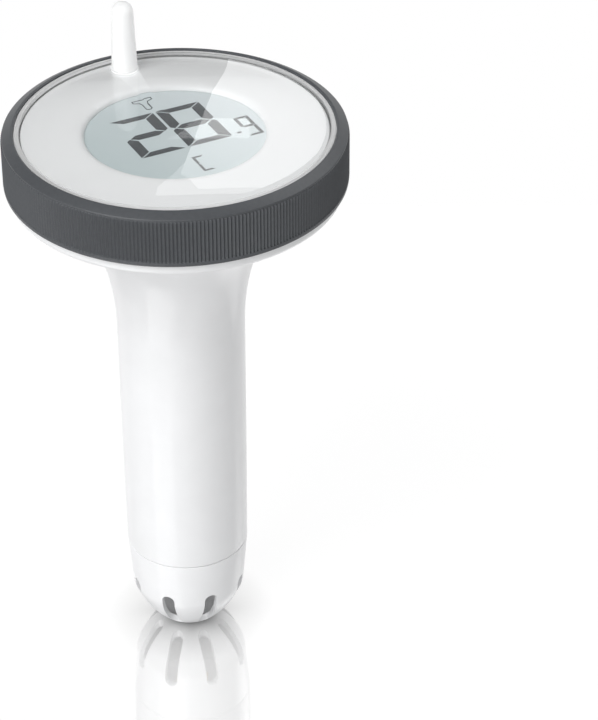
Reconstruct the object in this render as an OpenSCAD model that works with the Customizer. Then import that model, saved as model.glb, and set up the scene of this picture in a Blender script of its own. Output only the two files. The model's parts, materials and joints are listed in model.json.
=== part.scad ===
// Floating pool thermometer: a screw ring clamps a head cartridge with the
// display, radio and batteries into a hollow float with a slotted probe guard.
// Origin: centre of the foot. +Z up, the display reads from the -Y side.

/* [Float body] */
// Height of the lock ring's shoulder above the foot
shoulder_z = 177; // [177:0.5:178.5]
// Outer radius of the stem at the neck
neck_r = 19.3; // [19.1:0.05:19.6]
// Outer radius of the stem at the guard seam
seam_r = 18.85; // [18.6:0.05:19]
// Height of the seam between stem and guard
seam_z = 31.4; // [31:0.2:31.8]
// Radius of the bore in the stem
stem_bore_r = 16.4; // [16.3:0.1:16.5]
// Outer radius of the flange lip
lip_r = 49.1; // [48.9:0.1:50]

/* [Probe guard] */
// Radius of the flat foot
foot_r = 5.3; // [5:0.1:6]
// Number of water slots
slot_count = 8; // [4:1:10]
// Width of a water slot
slot_w = 4.1; // [3:0.1:4.4]
// Height of the slot tops above the foot
slot_top = 18.2; // [17:0.2:19]
// Turn of the first slot about the axis
slot_turn = 43; // [0:0.5:45]
// Wall thickness of the guard
guard_wall = 1.7; // [1.5:0.1:1.9]

/* [Lock ring] */
// Outer radius of the ring over its ribs
ring_r = 50.4; // [50.2:0.1:50.8]
// Height of the ring below its shoulder
ring_h = 15.2; // [15:0.1:15.2]
// Inner radius of the ring's top lip
ring_lip_r = 46.7; // [46.6:0.1:46.9]
// Rise of the lip above the shoulder
ring_lip_rise = 1.45; // [1.3:0.05:1.6]
// Number of grip ribs
rib_count = 288; // [72:4:300]
// Depth of the grooves between ribs
rib_depth = 0.45; // [0.3:0.05:0.5]

/* [Thread] */
// Pitch of the collar thread
thread_pitch = 4; // [4:0.5:4]
// Turns of thread on the collar
collar_turns = 1.9; // [1.5:0.1:1.9]
// Turns of thread in the ring
ring_turns = 1.25; // [1:0.05:1.25]
// Straight facets in one turn of thread
thread_steps = 45; // [36:1:60]

/* [Lens and mast] */
// Radius of the raised lens disc
lens_r = 46.5; // [46.4:0.1:46.5]
// Height of the lens top above the ring's shoulder
lens_rise = 1.2; // [1:0.1:1.3]
// Thickness of the lens disc
lens_t = 2; // [1.8:0.1:2]
// Distance of the mast from the axis
mast_dist = 39.4; // [39:0.1:39.6]
// Turn of the mast about the axis, from the top of the display
mast_turn = -2.7; // [-5:0.1:5]
// Radius of the mast at its base
mast_base_r = 3.88; // [3.8:0.02:3.9]
// Radius of the mast's round tip
mast_tip_r = 3.26; // [3.1:0.02:3.3]
// Height of the mast above the ring's shoulder
mast_h = 22.8; // [20:0.1:24]

/* [Dial and display] */
// Radius of the dial plate
dial_r = 44.55; // [44.4:0.05:44.55]
// Radius of the window at the dial's face
window_r = 27.5; // [27:0.1:28]
// Radius of the display that shows in the window
view_r = 26.45; // [25.5:0.05:26.5]
// Side of the square display cell
cell_side = 54.5; // [53:0.5:55]
// Height of a large digit
digit_h = 23.2; // [20:0.1:23.4]
// Width of a large digit
digit_w = 13.9; // [12:0.1:14]
// Width of a large digit's upright segments
digit_post = 3.3; // [2.4:0.1:3.5]
// Height of a large digit's level segments
digit_bar = 2.3; // [1.8:0.1:2.6]

/* [Batteries] */
// Radius of a battery cell
cell_r = 7.1; // [7:0.05:7.15]
// Length of a battery cell with its nub
cell_len = 50.5; // [50:0.1:50.5]

/* [Hidden] */
// Heights of the ring, collar and flange
ring_z0 = shoulder_z - ring_h;
flange_top = ring_z0 - 0.3;
lip_bottom = flange_top - 3.7;
lip_round = 2.4;
collar_top = shoulder_z - 4.1;
collar_r = 47;
collar_in_r = 44.8;
ring_bore_r = 48.2;
ring_lip_under = shoulder_z - 0.4;
bead_r = 47.5;
bead_z = shoulder_z - 3.4;
bead_h = 0.5;
// Threads: roots are sunk into the wall behind them
collar_root_r = 46.7;
collar_crest_r = 47.85;
ring_root_r = 48.6;
ring_crest_r = 47.3;
collar_thread_z = flange_top + 2;
collar_base_w = 1.9;
collar_crest_w = 0.8;
ring_base_w = 1.5;
ring_crest_w = 0.6;
ring_thread_turn = 0.5;
// Stem, neck and bulkhead
neck_z = 112;
bulkhead_z = 32.5;
bulkhead_t = 3;
floor_z = bulkhead_z + bulkhead_t;
spigot_r = 16.2;
spigot_in_r = 14.6;
spigot_z = 25;
cavity_floor_z = flange_top - 1;
key_w = 4;
key_gap = 0.25;
key_slot_r = 45.8;
// Guard
guard_top = seam_z - 0.2;
guard_socket_r = 16.35;
guard_bend_z = 15.4;
guard_bend_r = 17.54;
slot_in_r = 11.5;
// Probe
thimble_r = 3;
thimble_wall = 0.6;
thimble_tip_z = 11.5;
thimble_flange_r = 6;
thimble_flange_t = 1.2;
seal_sec_r = 0.6;
seal_ring_r = 4.3;
nut_flats = 10;
nut_t = 3.3;
bead_len = 3;
ballast_h = 16;
ballast_hole_r = 7;
// Lens, gasket and bezel
lens_top = shoulder_z + lens_rise;
lens_bottom = lens_top - lens_t;
rim_bottom = shoulder_z - 2.6;
rim_top = shoulder_z - 0.6;
rim_r = 47.9;
rim_in_r = 44.75;
gasket_z = collar_top + 0.1;
gasket_in_r = 44.7;
gasket_r = 47;
mast_a = 90 + mast_turn;
sheath_wall = 0.75;
sheath_tip_wall = 1.5;
sleeve_gap = 0.1;
dial_top = shoulder_z - 1.1;
dial_t = 1.6;
dial_under = dial_top - dial_t;
skirt_in_r = 42.6;
cover_top = shoulder_z - 13.5;
cover_t = 1.6;
cover_z = cover_top - cover_t;
// Display stack
cell_t = 2;
cell_top = dial_under - 0.05;
cell_z = cell_top - cell_t;
segment_t = 0.05;
reflector_t = 0.3;
pcb_t = 1.6;
pcb_top = shoulder_z - 7.8;
pcb_z = pcb_top - pcb_t;
pcb_r = 42;
frame_side = 58;
strip_len = 48;
strip_w = 2.2;
strip_y = 25.6;
// Fasteners: angles about the axis
pcb_screw_a = [0, 65, 180, 250];
pcb_screw_r = 36;
cover_screw_a = [20, 160, 200, 340];
cover_screw_r = 38.5;
boss_r = 2.7;
pilot_r = 0.95;
screw_r = 1;
screw_clear_r = 1.25;
screw_head_r = 2.2;
screw_head_t = 1.2;
// Controls under the head
control_x = 22;
control_y = -20;
button_r = 3.3;
button_travel = 0.6;
switch_travel = 2;
knob_w = 3;
// Battery cradle
holder_r = 15.9;
holder_z = 100.5;
holder_end = 1.5;
holder_half_y = 9.2;
holder_open_y = -3.5;
contact_t = 0.4;
bridge_l = 24;
bridge_w = 9;
spring_len = 3;
nub_len = 1;
nub_r = 2.7;
cell_x = 7.25;
well_r = 7.3;
well_z = holder_z + holder_end;
well_top = well_z + cell_len + 2 * contact_t + spring_len + 0.2;
holder_top = well_top + holder_end;
holder_screw_x = 17;
// Leads
sensor_hole_y = 16;
lead_hole_x = 12;
lead_hole_y = 8;
sensor_route = [
    [0, 0, 15.5], [0, 0, 26.5], [0, 0, 38.5], [0, 0, 48.5], [0.5, 0, 54.5], [3, 1, 59.5], [5, 3, 64.5],
    [4.5, 5.5, 69.5], [1, 7, 73.5], [-3, 8, 77.5], [-4.5, 9, 82.5], [-3, 10.5, 87.5], [-1, 12, 92.5],
    [0, 12.6, 98.5], [0, 12.8, 108.5], [0, 12.8, 122.5], [0, 12.8, 136.5], [0, 12.8, 148.5],
    [0, 13.6, 154.5], [0, 15, 158.5], [0, 16, 162.5], [0, 16, 167.5],
];
battery_route = [
    [7.25, 0, 157.1], [7.25, 0, 158.5], [8, 1.5, 159.9], [10, 5, 160.7], [11.6, 7.4, 161.7],
    [12, 8, 163.5], [12, 8, 167.5],
];
sides = 96;
small_sides = 48;

// ---- shared shapes ----

// Points of a cubic curve from a to d, pulled towards b and c
function curve(a, b, c, d, n) = [
    for (i = [0 : n])
        let (t = i / n, s = 1 - t)
        s * s * s * a + 3 * s * s * t * b + 3 * s * t * t * c + t * t * t * d
];

// Points of an arc about c
function arc(c, r, a0, a1, n) = [
    for (i = [0 : n])
        let (a = a0 + (a1 - a0) * i / n)
        c + r * [cos(a), sin(a)]
];

module revolve(points) {
    rotate_extrude($fn = sides) polygon(points);
}

module tube(r_out, r_in, z0, z1) {
    translate([0, 0, z0])
        difference() {
            cylinder(r = r_out, h = z1 - z0, $fn = small_sides);
            translate([0, 0, -1]) cylinder(r = r_in, h = z1 - z0 + 2, $fn = small_sides);
        }
}

module rod(r, z0, z1) {
    translate([0, 0, z0]) cylinder(r = r, h = z1 - z0, $fn = small_sides);
}

module block(x, y, z0, z1) {
    translate([-x / 2, -y / 2, z0]) cube([x, y, z1 - z0]);
}

module at_angle(a, r) {
    rotate([0, 0, a]) translate([r, 0, 0]) children();
}

// Mesh faces of a strip of rings with m points each, closed at both ends
function strip_faces(n, m) = concat(
    [[for (j = [0 : m - 1]) m - 1 - j]],
    [for (i = [0 : n - 2], j = [0 : m - 1])
        let (a = i * m + j, b = i * m + (j + 1) % m)
        each [[a, b, b + m], [a, b + m, a + m]]],
    [[for (j = [0 : m - 1]) (n - 1) * m + j]]
);

// Screw thread: the crest side may lie inside or outside the root
module thread(root_r, crest_r, base_w, crest_w, z0, from_turn, turns) {
    n = ceil(turns * thread_steps) + 1;
    flip = crest_r > root_r ? 1 : -1;
    section = [[0, -base_w / 2], [1, -crest_w / 2], [1, crest_w / 2], [0, base_w / 2]];
    points = [
        for (i = [0 : n - 1], s = section)
            let (
                turn = from_turn + turns * i / (n - 1),
                fade = min(1, 0.3 + 5 * min(i, n - 1 - i) / thread_steps),
                r = root_r + s[0] * fade * (crest_r - root_r)
            )
            [r * cos(360 * turn), flip * r * sin(360 * turn), z0 + turn * thread_pitch + s[1]]
    ];
    mirror([0, flip > 0 ? 0 : 1, 0])
        polyhedron(points, strip_faces(n, 4), convexity = 6);
}

function unit(v) = v / norm(v);

// Tangent of a route at point i
function heading(p, i) = unit(p[min(i + 1, len(p) - 1)] - p[max(i - 1, 0)]);

// Smooth points through a route, k steps between two of its points
function smooth(p, k) = [
    for (i = [0 : len(p) - 2], j = [0 : (i == len(p) - 2 ? k : k - 1)])
        let (
            t = j / k,
            a = p[max(i - 1, 0)],
            b = p[i],
            c = p[i + 1],
            d = p[min(i + 2, len(p) - 1)]
        )
        0.5 * (2 * b + (c - a) * t + (2 * a - 5 * b + 4 * c - d) * t * t
            + (3 * b - a - 3 * c + d) * t * t * t)
];

// Round wire swept along a route; side is any direction off the route
module wire(route, r, m, side) {
    n = len(route);
    points = [
        for (i = [0 : n - 1], j = [0 : m - 1])
            let (
                t = heading(route, i),
                u = unit(cross(side, t)),
                v = cross(t, u),
                a = 360 * j / m
            )
            route[i] + r * (cos(a) * u + sin(a) * v)
    ];
    polyhedron(points, strip_faces(n, m), convexity = 10);
}

function coil(r, z0, z1, turns, steps) = [
    for (i = [0 : turns * steps])
        let (a = 360 * i / steps, t = i / (turns * steps))
        [r * cos(a), r * sin(a), z0 + (z1 - z0) * t]
];

// ---- float body ----

outer_stem = curve([seam_r, seam_z], [seam_r + 0.4, 77.5], [neck_r - 0.1, 92.5],
    [neck_r, neck_z], 8);
outer_flare = curve([neck_r, neck_z], [neck_r + 0.3, 133.5], [27, 155.5],
    [46.2, lip_bottom], 20);
inner_flare = curve([stem_bore_r, neck_z - 4], [stem_bore_r + 0.7, 133.5], [25, 157.5],
    [43.5, cavity_floor_z - 0.4], 14);

module float_shell() {
    thimble_bore_r = thimble_r + 0.15;
    lip = arc([lip_r - lip_round, lip_bottom + lip_round], lip_round, -90, 0, 6);
    profile = concat(
        [
            [thimble_bore_r, bulkhead_z],
            [spigot_in_r, bulkhead_z],
            [spigot_in_r, spigot_z],
            [spigot_r, spigot_z],
            [spigot_r, seam_z],
        ],
        outer_stem,
        [for (i = [1 : len(outer_flare) - 1]) outer_flare[i]],
        lip,
        [
            [lip_r, flange_top],
            [collar_r, flange_top],
            [collar_r, collar_top],
            [collar_in_r, collar_top],
            [collar_in_r, cavity_floor_z + 0.6],
        ],
        [for (i = [len(inner_flare) - 1 : -1 : 0]) inner_flare[i]],
        [
            [stem_bore_r, floor_z],
            [thimble_bore_r, floor_z],
        ]
    );
    color("white")
        difference() {
            union() {
                revolve(profile);
                thread(collar_root_r, collar_crest_r, collar_base_w, collar_crest_w,
                    collar_thread_z, 0, collar_turns);
            }
            key_slot();
        }
}

// Slot in the collar that keeps the head from turning with the ring
module key_slot() {
    w = key_w + 2 * key_gap;
    translate([-w / 2, -key_slot_r, cover_top])
        cube([w, key_slot_r - collar_in_r + 1.2, collar_top]);
}

module probe_guard() {
    w = guard_wall;
    profile = concat(
        [[guard_socket_r, guard_top], [seam_r, guard_top]],
        curve([guard_bend_r, guard_bend_z], [guard_bend_r - 0.2, guard_bend_z - 4.1],
            [foot_r + 5.25, 0], [foot_r, 0], 14),
        [[0, 0], [0, w]],
        curve([foot_r - 0.5, w], [foot_r + 4, w],
            [guard_bend_r - w, guard_bend_z - 3.4], [guard_bend_r - w, guard_bend_z], 10),
        [[guard_socket_r - 0.5, spigot_z - 0.2], [guard_socket_r, spigot_z - 0.2]]
    );
    color("white")
        difference() {
            revolve(profile);
            for (i = [0 : slot_count - 1])
                rotate([0, 0, slot_turn + i * 360 / slot_count]) water_slot();
        }
}

module water_slot() {
    r = slot_w / 2;
    reach = guard_bend_r + 3 - slot_in_r;
    translate([slot_in_r, 0, -1]) cylinder(r = r, h = slot_top - r + 1, $fn = small_sides);
    translate([slot_in_r, -r, -1]) cube([reach, slot_w, slot_top - r + 1]);
    translate([slot_in_r, 0, slot_top - r])
        rotate([0, 90, 0]) cylinder(r = r, h = reach, $fn = small_sides);
}

module probe_thimble() {
    flange_z = floor_z + 2 * seal_sec_r;
    bore_r = thimble_r - thimble_wall;
    color("silver")
        difference() {
            union() {
                rod(thimble_r, thimble_tip_z + thimble_r, flange_z);
                translate([0, 0, thimble_tip_z + thimble_r])
                    sphere(r = thimble_r, $fn = small_sides);
                rod(thimble_flange_r, flange_z, flange_z + thimble_flange_t);
            }
            rod(bore_r, thimble_tip_z + thimble_r, flange_z + 2 * thimble_flange_t);
            translate([0, 0, thimble_tip_z + thimble_r])
                sphere(r = bore_r, $fn = small_sides);
        }
}

module thimble_seal() {
    color("dimgray")
        rotate_extrude($fn = small_sides)
            translate([seal_ring_r, floor_z + seal_sec_r]) circle(r = seal_sec_r, $fn = small_sides);
}

module thimble_nut() {
    color("silver")
        translate([0, 0, bulkhead_z - nut_t])
            difference() {
                cylinder(r = nut_flats / sqrt(3), h = nut_t, $fn = 6);
                translate([0, 0, -1])
                    cylinder(r = thimble_r + 0.05, h = nut_t + 2, $fn = small_sides);
            }
}

module thermistor() {
    color("black")
        translate([0, 0, thimble_tip_z + thimble_r - 1]) {
            sphere(r = 1.2, $fn = small_sides);
            cylinder(r = 1.2, h = bead_len - 1, $fn = small_sides);
        }
}

module ballast_weight() {
    r = stem_bore_r - 0.3;
    color("gray")
        revolve([
            [ballast_hole_r, floor_z + 0.05],
            [r - 1, floor_z + 0.05],
            [r, floor_z + 1.05],
            [r, floor_z + ballast_h - 1],
            [r - 1, floor_z + ballast_h],
            [ballast_hole_r, floor_z + ballast_h],
        ]);
}

module sensor_leads() {
    color("gray") wire(smooth(sensor_route, 2), 0.8, 8, [1, 0.2, 0]);
}

// ---- head cartridge: lens, mast and gasket ----

module lens_cover() {
    chamfer = 0.5;
    tip_z = shoulder_z + mast_h - mast_tip_r;
    base_in_r = mast_base_r - sheath_wall;
    tip_in_r = mast_tip_r - sheath_wall;
    tip_in_z = shoulder_z + mast_h - sheath_tip_wall - tip_in_r;
    color([0.9, 0.95, 1, 0.4])
        difference() {
            union() {
                revolve([
                    [0, lens_bottom],
                    [rim_in_r, lens_bottom],
                    [rim_in_r, rim_bottom],
                    [rim_r, rim_bottom],
                    [rim_r, rim_top],
                    [lens_r, rim_top],
                    [lens_r, lens_top - chamfer],
                    [lens_r - chamfer, lens_top],
                    [0, lens_top],
                ]);
                at_angle(mast_a, mast_dist) {
                    translate([0, 0, lens_bottom])
                        cylinder(r = mast_base_r, h = lens_t, $fn = small_sides);
                    translate([0, 0, lens_top])
                        cylinder(r1 = mast_base_r, r2 = mast_tip_r, h = tip_z - lens_top,
                            $fn = small_sides);
                    translate([0, 0, tip_z]) sphere(r = mast_tip_r, $fn = small_sides);
                    mast_fillet();
                }
            }
            at_angle(mast_a, mast_dist) {
                translate([0, 0, lens_bottom - 1])
                    cylinder(r = base_in_r, h = lens_t + 1, $fn = small_sides);
                translate([0, 0, lens_top])
                    cylinder(r1 = base_in_r, r2 = tip_in_r, h = tip_in_z - lens_top,
                        $fn = small_sides);
                translate([0, 0, tip_in_z]) sphere(r = tip_in_r, $fn = small_sides);
            }
        }
}

// Rounded foot where the mast grows out of the lens
module mast_fillet() {
    r = 0.8;
    translate([0, 0, lens_top])
        rotate_extrude($fn = small_sides)
            difference() {
                translate([mast_base_r - 0.4, -0.2]) square([r + 0.4, r + 0.2]);
                translate([mast_base_r + r, r]) circle(r = r, $fn = small_sides);
            }
}

module seal_gasket() {
    color("gray") tube(gasket_r, gasket_in_r, gasket_z, rim_bottom);
}

module antenna_sleeve() {
    base_r = mast_base_r - sheath_wall - sleeve_gap;
    tip_r = mast_tip_r - sheath_wall - sleeve_gap;
    tip_z = shoulder_z + mast_h - sheath_tip_wall - sleeve_gap - tip_r;
    wall = 0.7;
    color("white")
        at_angle(mast_a, mast_dist)
            difference() {
                union() {
                    rod(base_r, pcb_top + 0.1, lens_top);
                    translate([0, 0, lens_top])
                        cylinder(r1 = base_r, r2 = tip_r, h = tip_z - lens_top, $fn = small_sides);
                    translate([0, 0, tip_z]) sphere(r = tip_r, $fn = small_sides);
                }
                rod(tip_r - wall, pcb_top, tip_z);
            }
}

module antenna_coil() {
    color("goldenrod")
        at_angle(mast_a, mast_dist)
            wire(coil(1.2, pcb_top + 0.4, lens_top + mast_h - 6, 9, 14), 0.3, 6, [0, 0, 1]);
}

// ---- head cartridge: dial, display and board ----

module bezel() {
    color("white")
        difference() {
            union() {
                revolve([
                    [view_r, dial_under],
                    [skirt_in_r, dial_under],
                    [skirt_in_r, cover_top + 0.05],
                    [dial_r, cover_top + 0.05],
                    [dial_r, dial_top - 0.3],
                    [dial_r - 0.3, dial_top],
                    [window_r, dial_top],
                ]);
                for (a = pcb_screw_a)
                    at_angle(a, pcb_screw_r) rod(boss_r, pcb_top + 0.05, dial_under + 0.2);
                for (a = cover_screw_a)
                    at_angle(a, cover_screw_r) rod(boss_r, cover_top + 0.05, dial_under + 0.2);
                translate([-key_w / 2, -key_slot_r + key_gap, cover_top + 1])
                    cube([key_w, key_slot_r - skirt_in_r - key_gap - 0.4, 6]);
            }
            for (a = pcb_screw_a)
                at_angle(a, pcb_screw_r) rod(pilot_r, pcb_top, dial_under - 0.6);
            for (a = cover_screw_a)
                at_angle(a, cover_screw_r) rod(pilot_r, cover_top, dial_under - 0.6);
            at_angle(mast_a, mast_dist)
                rod(mast_base_r - sheath_wall + 0.1, dial_under - 1, dial_top + 1);
        }
}

module lcd_cell() {
    color("lightsteelblue") block(cell_side, cell_side, cell_z, cell_top);
}

// Seven-segment digit centred on the origin; on lists the lit segments
module digit(w, h, post_w, bar_h, on) {
    for (name = on) {
        if (name == "a") bar(w, h, post_w, bar_h, 1);
        if (name == "g") middle_bar(w, post_w, bar_h);
        if (name == "d") bar(w, h, post_w, bar_h, -1);
        if (name == "b") post(w, h, post_w, bar_h, 1, 1);
        if (name == "c") post(w, h, post_w, bar_h, 1, -1);
        if (name == "f") post(w, h, post_w, bar_h, -1, 1);
        if (name == "e") post(w, h, post_w, bar_h, -1, -1);
    }
}

// Gap between two segments of a digit
function segment_gap(post_w) = 0.09 * post_w;

// Top segment with side 1, bottom segment with side -1
module bar(w, h, post_w, bar_h, side) {
    outer = w / 2 - segment_gap(post_w);
    inner = outer - post_w;
    y = side * h / 2;
    inner_y = y - side * bar_h;
    polygon([[-outer, y], [outer, y], [inner, inner_y], [-inner, inner_y]]);
}

module middle_bar(w, post_w, bar_h) {
    tip = w / 2 - 0.5 * post_w;
    shoulder = w / 2 - 1.15 * post_w;
    y = 0.6 * bar_h;
    polygon([[-tip, 0], [-shoulder, -y], [shoulder, -y], [tip, 0], [shoulder, y], [-shoulder, y]]);
}

// Upright segment: right is 1 or -1, up is 1 or -1
module post(w, h, post_w, bar_h, right, up) {
    gap = segment_gap(post_w);
    x = right * w / 2;
    inner = x - right * post_w;
    far = up * (h / 2 - gap);
    polygon([
        [x, far], [x, up * (gap + 0.35 * bar_h)],
        [x - right * 0.35 * post_w, up * 0.5 * gap], [inner, up * (gap + 0.7 * bar_h)],
        [inner, far - up * bar_h],
    ]);
}

// Outline of the float above the digits
module float_symbol() {
    line = 0.3;
    outline = [
        [-3, 6.3], [3, 6.3], [3, 5.2], [1.3, 4.5], [0.9, 3.4], [0.9, 0.5], [0.4, 0],
        [-0.4, 0], [-0.9, 0.5], [-0.9, 3.4], [-1.3, 4.5], [-3, 5.2],
    ];
    for (i = [0 : len(outline) - 1]) {
        a = outline[i];
        b = outline[(i + 1) % len(outline)];
        d = line / 2 * unit(b - a);
        s = [-d[1], d[0]];
        polygon([a - d - s, b + d - s, b + d + s, a - d + s]);
    }
}

module lcd_segments() {
    pitch = digit_w + 0.9;
    digit_y = 3.2;
    color("darkslategray")
        translate([0, 0, cell_top])
            linear_extrude(height = segment_t) {
                translate([-pitch / 2, digit_y])
                    digit(digit_w, digit_h, digit_post, digit_bar, ["a", "b", "g", "e", "d"]);
                translate([pitch / 2, digit_y])
                    digit(digit_w, digit_h, digit_post, digit_bar,
                        ["a", "b", "c", "d", "e", "f", "g"]);
                translate([21.2, -5.1])
                    digit(4.6, 11.4, 1, 0.8, ["a", "b", "c", "d", "f", "g"]);
                translate([17, -7.6]) square([1.4, 0.8], center = true);
                translate([0.1, -18.7])
                    digit(3.5, 8.7, 0.8, 0.7, ["a", "d", "e", "f"]);
                translate([-0.2, 17.1]) float_symbol();
            }
}

module lcd_reflector() {
    color("gainsboro") block(cell_side - 1, 47, cell_z - reflector_t, cell_z);
}

module lcd_frame() {
    ledge_z = cell_z - reflector_t - 0.05;
    color("white")
        difference() {
            intersection() {
                block(frame_side, frame_side, pcb_top + 0.05, cell_top);
                rod(pcb_r - 2.5, pcb_top, dial_top);
            }
            block(cell_side + 0.2, cell_side + 0.2, ledge_z, dial_top);
            block(strip_len + 2, 2 * strip_y + strip_w + 0.4, pcb_top - 1, dial_top);
        }
}

module zebra_strips() {
    color("dimgray")
        for (side = [-1, 1])
            translate([0, side * strip_y, 0])
                block(strip_len, strip_w, pcb_top, cell_z);
}

module main_pcb() {
    color("seagreen")
        difference() {
            translate([0, 0, pcb_z]) cylinder(r = pcb_r, h = pcb_t, $fn = sides);
            for (a = pcb_screw_a)
                at_angle(a, pcb_screw_r) rod(screw_clear_r, pcb_z - 1, pcb_top + 1);
            for (a = cover_screw_a)
                at_angle(a, cover_screw_r) rod(boss_r + 0.3, pcb_z - 1, pcb_top + 1);
        }
}

// Screw pointing up: head below z, shank above it
module screw(z, reach) {
    difference() {
        union() {
            rod(screw_head_r, z - screw_head_t, z);
            rod(screw_r - 0.1, z, z + reach);
        }
        for (a = [0, 90])
            rotate([0, 0, a]) block(2.6, 0.5, z - 2 * screw_head_t, z - 0.5 * screw_head_t);
    }
}

module pcb_screws() {
    color("silver")
        for (a = pcb_screw_a)
            at_angle(a, pcb_screw_r) screw(pcb_z, 5);
}

module rf_module() {
    y = 33.5;
    color("darkgreen") translate([0, y, 0]) block(16, 11, pcb_z - 1, pcb_z);
    color("silver") translate([0, y, 0]) block(11, 8, pcb_z - 2.6, pcb_z - 1);
}

module chip_blob() {
    dome_r = 11;
    dome_h = 1.8;
    color("black")
        translate([-18, -6, 0])
            intersection() {
                translate([0, 0, pcb_z - dome_h + dome_r]) sphere(r = dome_r, $fn = small_sides);
                rod(dome_r, pcb_z - dome_h - 1, pcb_z);
            }
}

module crystal_can() {
    r = 1.4;
    color("silver")
        translate([-24, 12, pcb_z - r])
            rotate([0, 90, 0]) cylinder(r = r, h = 6, $fn = small_sides);
}

module capacitor() {
    r = 1.6;
    color("navy")
        translate([18, 8, pcb_z - r])
            rotate([0, 90, 0]) cylinder(r = r, h = 7, $fn = small_sides);
}

module tact_switch() {
    color("dimgray")
        translate([control_x, control_y, 0]) {
            block(6, 6, pcb_z - 2.1, pcb_z);
            rod(1.7, pcb_z - 2.5, pcb_z - 2.1);
        }
}

module slide_switch() {
    color("silver")
        translate([-control_x, control_y, 0]) block(10, 4.4, pcb_z - 2.9, pcb_z);
}

// ---- head cartridge: rear cover and batteries ----

module rear_cover() {
    color("whitesmoke")
        difference() {
            union() {
                translate([0, 0, cover_z]) cylinder(r = dial_r, h = cover_t, $fn = sides);
                for (side = [-1, 1])
                    translate([side * holder_screw_x, 0, 0])
                        rod(boss_r, cover_top - 0.2, cover_top + 2.4);
            }
            for (a = cover_screw_a)
                at_angle(a, cover_screw_r) rod(screw_clear_r, cover_z - 1, cover_top + 1);
            for (side = [-1, 1]) {
                translate([side * holder_screw_x, 0, 0]) rod(pilot_r, cover_z - 1, cover_top + 2);
                translate([side * lead_hole_x, lead_hole_y, 0]) rod(1.5, cover_z - 1, cover_top + 1);
            }
            translate([0, sensor_hole_y, 0]) rod(2, cover_z - 1, cover_top + 1);
            translate([control_x, control_y, 0]) rod(button_r + 0.2, cover_z - 1, cover_top + 1);
            translate([-control_x, control_y, 0])
                block(knob_w + 2 * switch_travel + 0.6, knob_w + 0.4, cover_z - 1, cover_top + 1);
        }
}

module cover_screws() {
    color("silver")
        for (a = cover_screw_a)
            at_angle(a, cover_screw_r) screw(cover_z, 8);
}

module battery_holder() {
    flange_z = cover_z - 1.4;
    color("white")
        difference() {
            union() {
                intersection() {
                    rod(holder_r, holder_z, holder_top);
                    translate([-holder_r, -holder_half_y, holder_z])
                        cube([2 * holder_r, 2 * holder_half_y, holder_top - holder_z]);
                }
                block(26, 15, holder_top - 0.1, cover_z - 0.05);
                block(2 * holder_screw_x + 8, 12, flange_z, cover_z - 0.05);
            }
            for (side = [-1, 1]) {
                translate([side * cell_x, 0, 0]) rod(well_r, well_z, well_top);
                translate([side * cell_x, 0, 0]) rod(1.4, well_top - 1, holder_top + 1);
                translate([side * holder_screw_x, 0, 0]) rod(screw_clear_r, flange_z - 1, cover_z);
            }
            translate([-holder_r, -holder_half_y - 1, well_z])
                cube([2 * holder_r, holder_half_y + 1 + holder_open_y, well_top - well_z]);
            block(bridge_l + 0.2, bridge_w + 0.2, well_z, well_z + contact_t + 0.1);
            block(21, 10, holder_top, cover_z + 1);
            translate([0, 6, 0]) block(27, 9, holder_top + 0.6, cover_z + 1);
        }
}

module holder_screws() {
    color("silver")
        for (side = [-1, 1])
            translate([side * holder_screw_x, 0, 0]) screw(cover_z - 1.4, 4.6);
}

// AA cell: z is the flat end's height, up is 1 when the nub points up
module cell(z, up) {
    length = cell_len - nub_len;
    nub_z = up > 0 ? z + length : z - nub_len;
    rod(cell_r, z, z + length);
    rod(nub_r, nub_z, nub_z + nub_len);
}

module battery_left() {
    color("gold")
        translate([-cell_x, 0, 0]) cell(well_z + contact_t + spring_len + 0.2, 1);
}

module battery_right() {
    color("gold")
        translate([cell_x, 0, 0]) cell(well_z + contact_t + nub_len, -1);
}

module battery_springs() {
    low_z = well_z + contact_t;
    high_z = well_top - contact_t;
    color("silver") {
        translate([-cell_x, 0, 0])
            wire(coil(3.2, low_z + 0.45, low_z + spring_len - 0.3, 3, 14), 0.35, 6, [0, 0, 1]);
        translate([cell_x, 0, 0])
            wire(coil(3.2, high_z - spring_len + 0.3, high_z - 0.45, 3, 14), 0.35, 6, [0, 0, 1]);
    }
}

module battery_contacts() {
    color("silver") {
        block(bridge_l, bridge_w, well_z, well_z + contact_t);
        for (side = [-1, 1])
            translate([side * cell_x, 0, 0]) block(10, bridge_w, well_top - contact_t, well_top);
    }
}

module battery_leads() {
    color("red") wire(battery_route, 0.55, 8, [0.2, -1, 0]);
    color("black") mirror([1, 0, 0]) wire(battery_route, 0.55, 8, [0.2, -1, 0]);
}

// ---- lock ring and controls ----

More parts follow.
